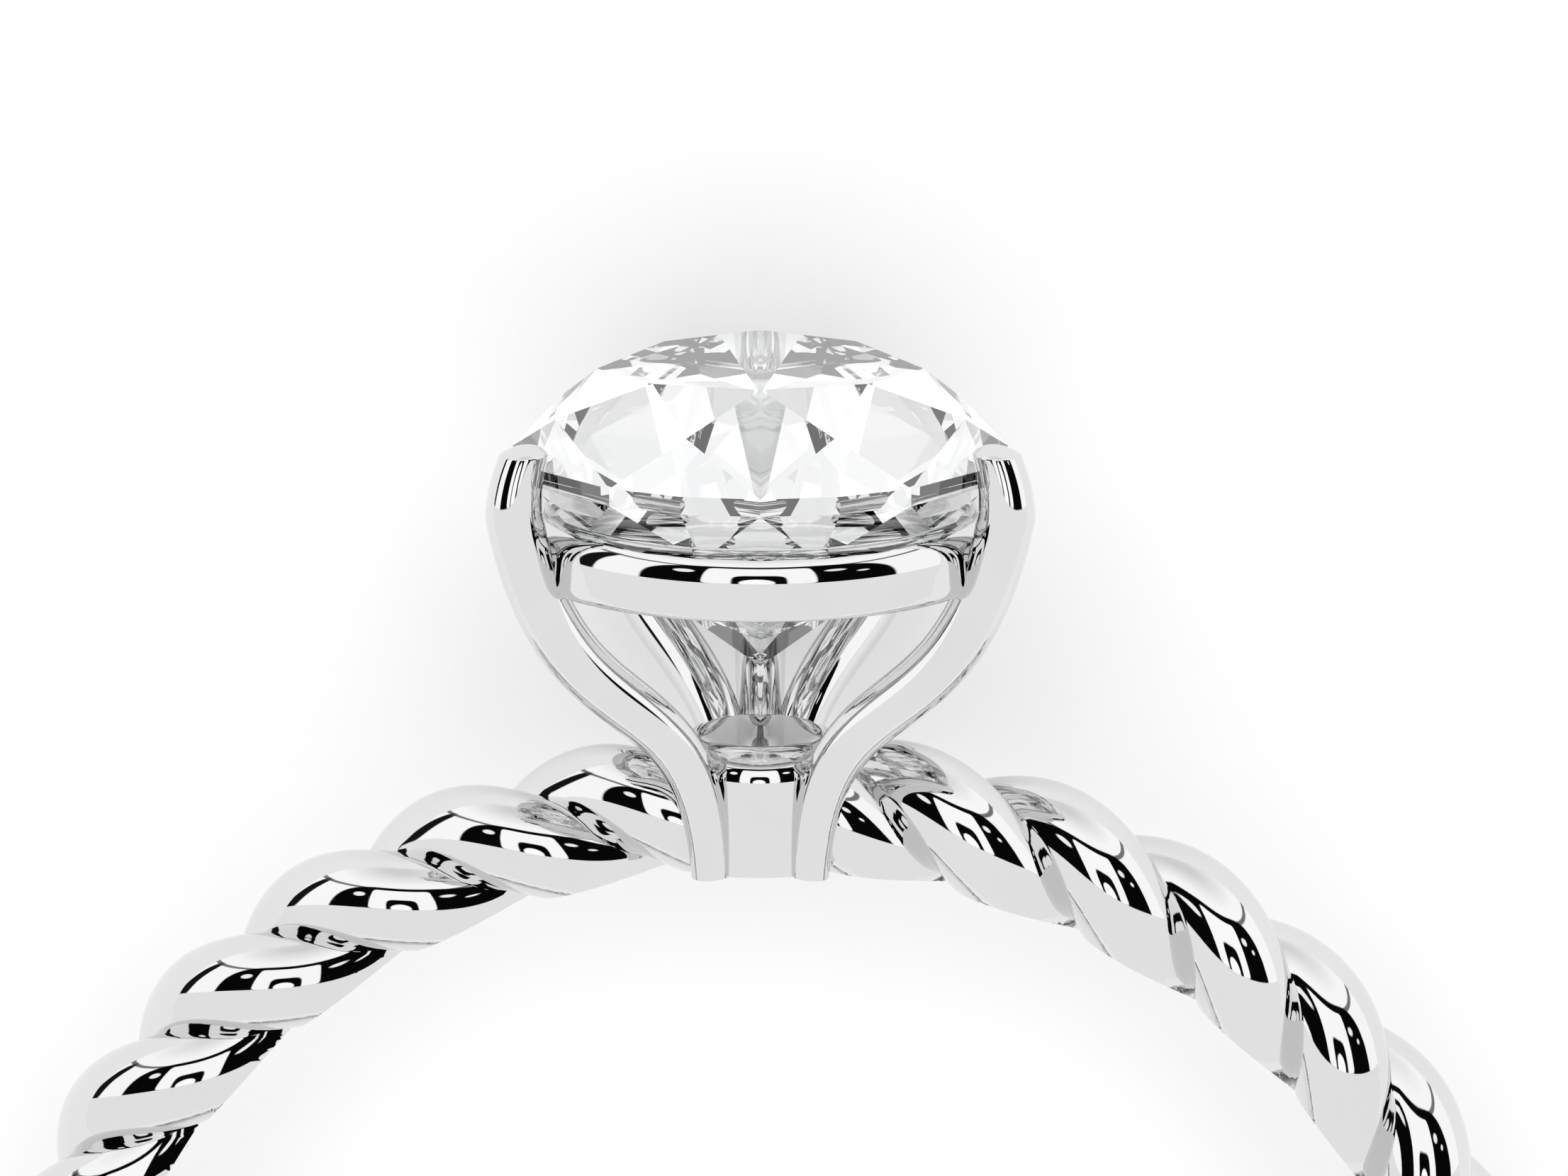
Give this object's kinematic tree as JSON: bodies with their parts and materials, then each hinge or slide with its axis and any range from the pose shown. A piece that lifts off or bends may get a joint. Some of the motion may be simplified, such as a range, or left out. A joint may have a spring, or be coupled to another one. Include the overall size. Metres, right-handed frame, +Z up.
{
  "type": "twisted shank ring",
  "caption": "Solitaire ring in polished white metal: a rope twisted shank and a pronged basket holding a pear cut stone.",
  "frame": {"origin": "on the floor that the ring rests on, under the middle of its bounding box", "axes": "+Y along the ring from the shank to the head, +Z up from the floor, +X to the right with the head away from the viewer"},
  "size_m": [0.02, 0.0244, 0.0083],
  "materials": {
    "white_gold": "mirror polished white gold",
    "diamond": "clear and colourless, with flat polished facets"
  },
  "bodies": {
    "root": {"mounting": "white_gold", "pear_stone": "diamond"}
  },
  "joints": []
}
